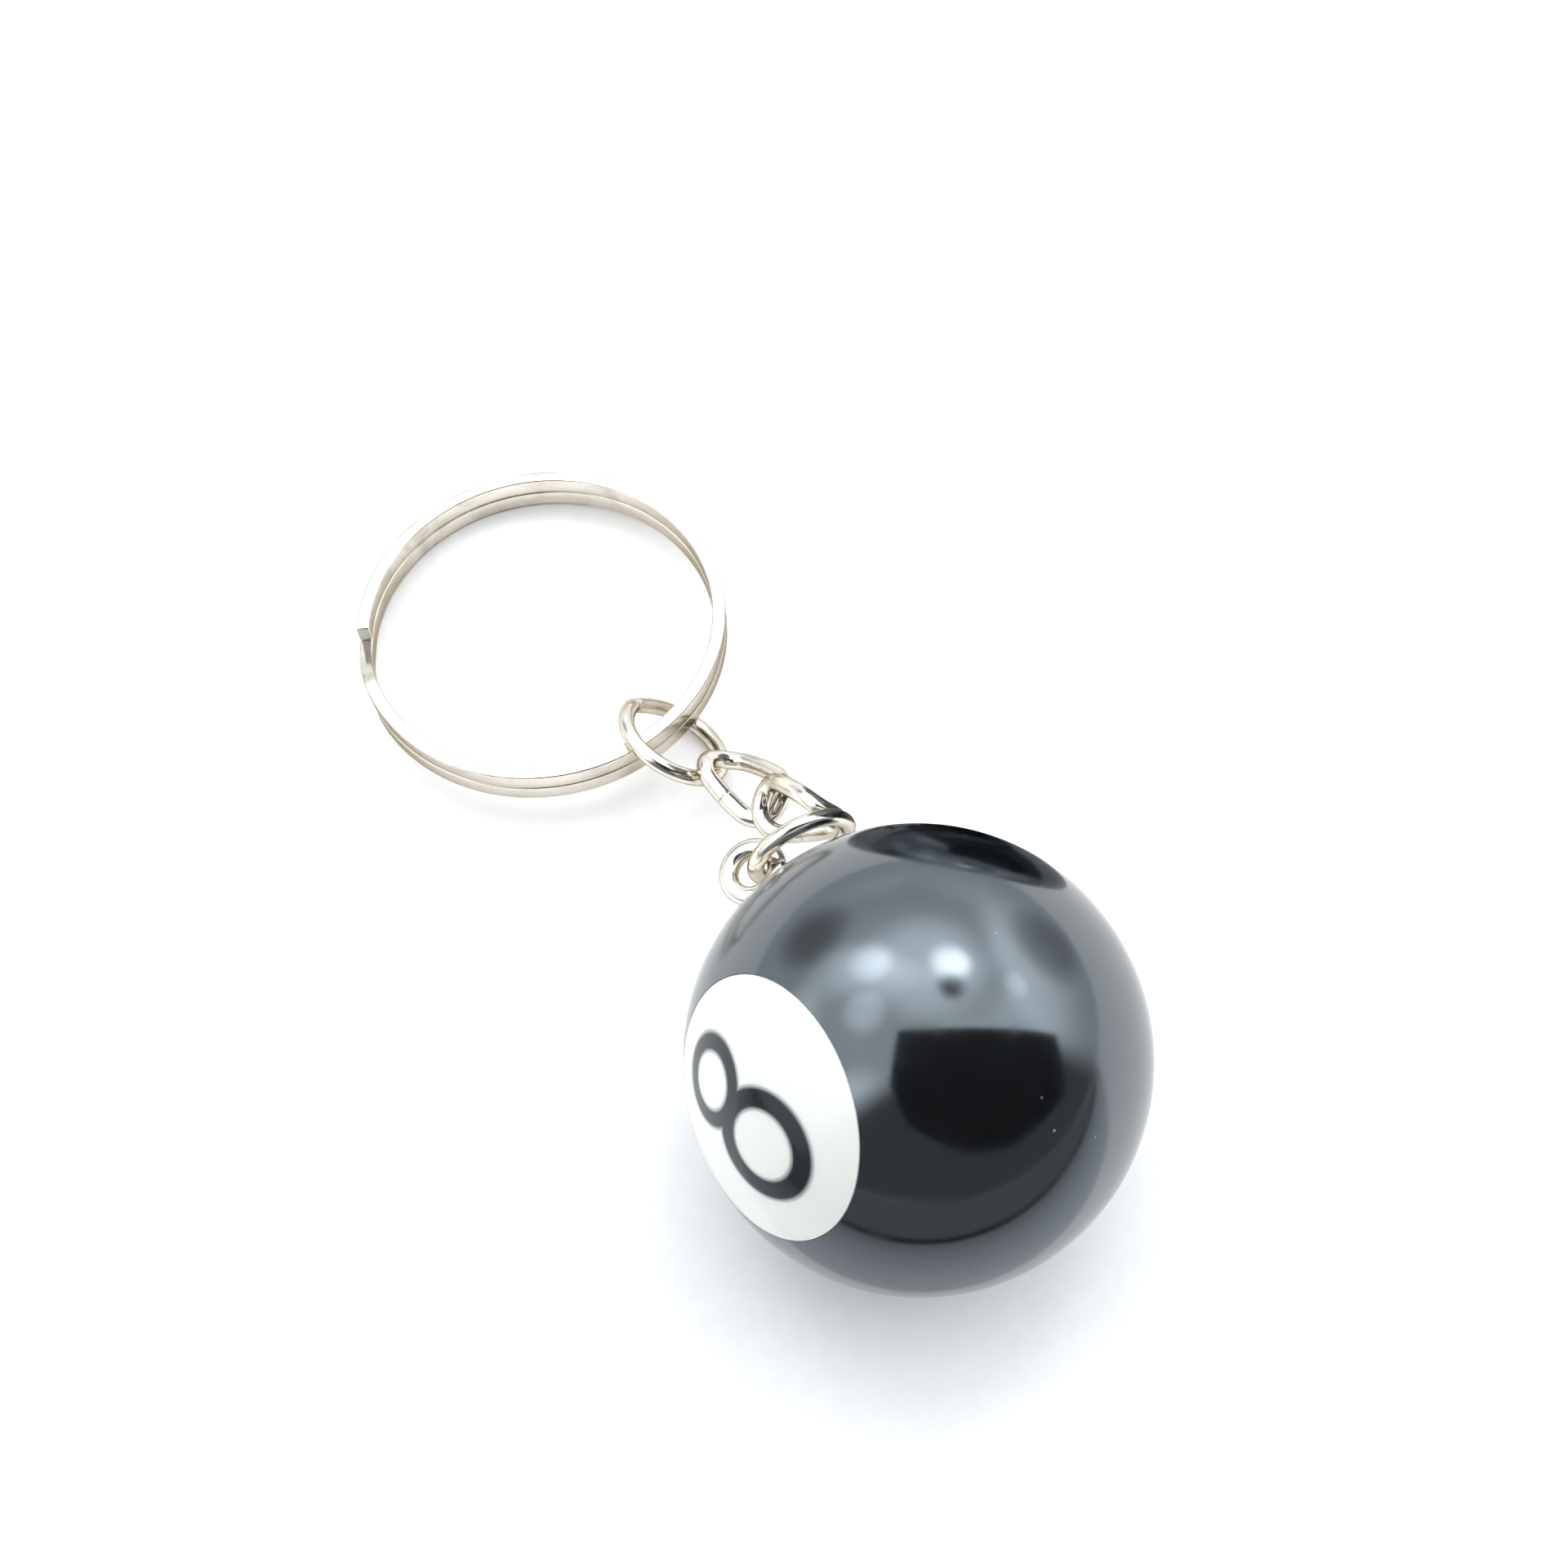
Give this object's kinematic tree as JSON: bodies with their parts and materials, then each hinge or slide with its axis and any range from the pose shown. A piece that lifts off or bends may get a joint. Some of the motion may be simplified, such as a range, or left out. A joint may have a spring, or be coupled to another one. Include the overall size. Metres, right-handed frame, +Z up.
{
  "type": "key ring with a numbered pool ball",
  "caption": "Small glossy pool ball with a numbered disc on two sides, on a screw eye, two jump rings, two twisted chain links and a flat split ring.",
  "frame": {"origin": "on the surface it lies on, under the middle of its bounding box", "axes": "+X from the split ring to the ball, +Z up, the front number looks towards -Y and up"},
  "size_m": [0.0646, 0.0253, 0.025],
  "materials": {
    "black_resin": "polished cast resin",
    "white_resin": "polished cast resin",
    "black_ink": "gloss, soft edged",
    "nickel_wire": "bright nickel plate on steel wire",
    "nickel_strip": "bright nickel plate on a flat steel strip, fine lengthwise draw lines"
  },
  "bodies": {
    "ball": {"ball_body": "black_resin", "number_disc_front": "white_resin", "numeral_front": "black_ink", "number_disc_back": "white_resin", "numeral_back": "black_ink", "screw_eye": "nickel_wire"},
    "lower_jump_ring": {"lower_jump_ring": "nickel_wire"},
    "chain_link_2": {"chain_link_2": "nickel_wire"},
    "chain_link_1": {"chain_link_1": "nickel_wire"},
    "upper_jump_ring": {"upper_jump_ring": "nickel_wire"},
    "split_ring": {"split_ring": "nickel_strip"}
  },
  "joints": [
    {"name": "eye_to_lower_ring", "type": "hinge", "parent": "ball", "child": "lower_jump_ring", "pos_m": [0.00478, 0.00193, 0.00937], "axis": [-0.9969, 0.06, -0.05], "range_deg": [-50, 50]},
    {"name": "lower_ring_to_link_2", "type": "hinge", "parent": "lower_jump_ring", "child": "chain_link_2", "pos_m": [0.00563, 0.00584, 0.00833], "axis": [-0.5219, -0.3613, -0.7727], "range_deg": [-50, 50]},
    {"name": "link_2_to_link_1", "type": "hinge", "parent": "chain_link_2", "child": "chain_link_1", "pos_m": [0.00044, 0.00369, 0.00571], "axis": [-0.6698, 0.5098, 0.5398], "range_deg": [-50, 50]},
    {"name": "link_1_to_upper_ring", "type": "hinge", "parent": "chain_link_1", "child": "upper_jump_ring", "pos_m": [-0.00506, 0.0048, 0.00282], "axis": [0.0803, -0.9943, 0.0703], "range_deg": [-50, 50]},
    {"name": "upper_ring_to_split_ring", "type": "hinge", "parent": "upper_jump_ring", "child": "split_ring", "pos_m": [-0.00953, 0.00478, 0.00279], "axis": [-0.2512, 0.9545, 0.1608], "range_deg": [-75, 75]}
  ]
}
